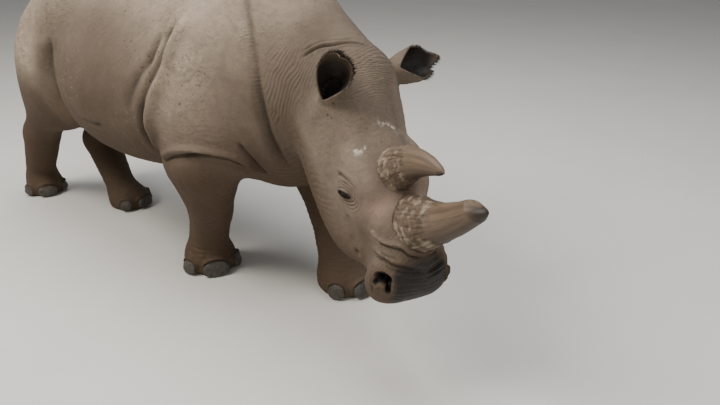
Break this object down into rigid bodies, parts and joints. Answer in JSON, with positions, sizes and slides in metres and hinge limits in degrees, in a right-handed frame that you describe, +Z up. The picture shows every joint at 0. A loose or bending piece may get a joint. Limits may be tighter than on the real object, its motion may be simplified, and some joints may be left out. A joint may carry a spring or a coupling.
{
  "type": "white rhinoceros",
  "caption": "Still life-size white rhinoceros cow, walking with its head lowered and turned to its right; stands on its own feet as display sculpture.",
  "frame": {"origin": "centre of the bounding box at floor level, where the soles rest", "axes": "+X towards the head, +Y to the animal's left, +Z up"},
  "size_m": [3.7386, 1.0644, 1.6071],
  "materials": {
    "hide": "matte dusty wrinkled hide",
    "horn": "matte fibrous keratin, smoother towards the tip",
    "nail": "worn satin keratin",
    "eye": "wet gloss"
  },
  "bodies": {
    "root": {"ear_left": "hide", "ear_right": "hide", "eye_left": "eye", "eye_right": "eye", "head": "hide", "horn_front": "horn", "horn_rear": "horn", "leg_fore_left": "hide", "leg_fore_right": "hide", "leg_hind_left": "hide", "leg_hind_right": "hide", "nail_fore_left_inner": "nail", "nail_fore_left_middle": "nail", "nail_fore_left_outer": "nail", "nail_fore_right_inner": "nail", "nail_fore_right_middle": "nail", "nail_fore_right_outer": "nail", "nail_hind_left_inner": "nail", "nail_hind_left_middle": "nail", "nail_hind_left_outer": "nail", "nail_hind_right_inner": "nail", "nail_hind_right_middle": "nail", "nail_hind_right_outer": "nail", "neck": "hide", "tail": "hide", "trunk": "hide"}
  },
  "joints": []
}
